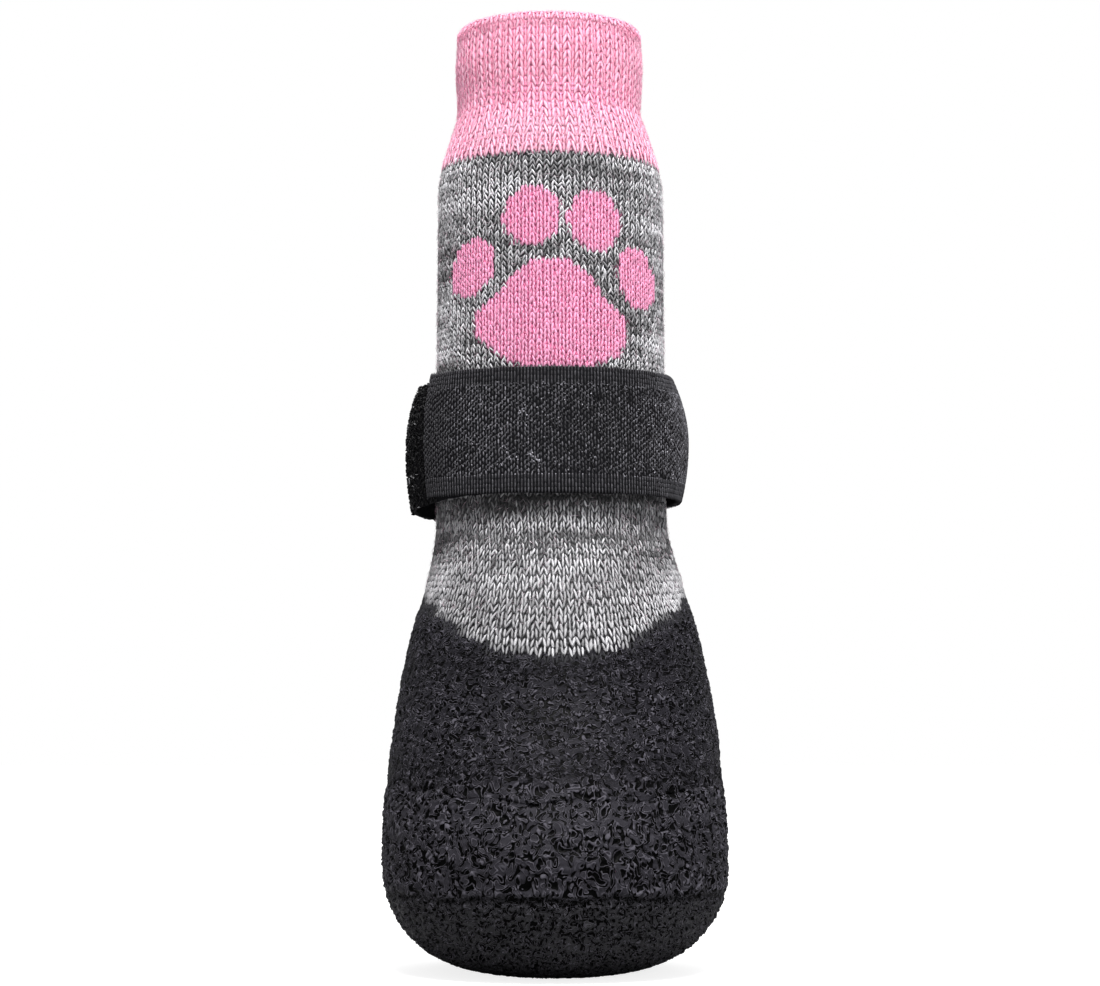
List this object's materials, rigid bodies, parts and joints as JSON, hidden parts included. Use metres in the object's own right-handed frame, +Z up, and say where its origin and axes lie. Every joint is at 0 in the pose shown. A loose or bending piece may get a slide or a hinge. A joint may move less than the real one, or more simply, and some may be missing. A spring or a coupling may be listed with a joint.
{
  "type": "dog sock",
  "caption": "Knitted dog's sock, open at a ribbed cuff, with a foot dipped in crinkled rubber and a hook-and-loop strap round the leg.",
  "frame": {"origin": "bottom centre of the bounding box, on the floor under the sole", "axes": "+Z up along the leg, -Y towards the toe, +X to the side that the hook tape comes round from"},
  "size_m": [0.0678, 0.08, 0.1916],
  "materials": {
    "grey_yarn": "marled knitted yarn, matt and slightly hairy",
    "pink_yarn": "plain pink knitted yarn, matt",
    "black_rubber": "crinkled dipped rubber with a satin sheen",
    "loop_pile": "black brushed loop pile",
    "woven_tape": "black woven nylon tape with ribbed selvedges"
  },
  "bodies": {
    "root": {"knit_sock": "grey_yarn", "rubber_sole": "black_rubber", "strap_loop_tape": "loop_pile", "strap_hook_tape": "woven_tape"}
  },
  "joints": []
}
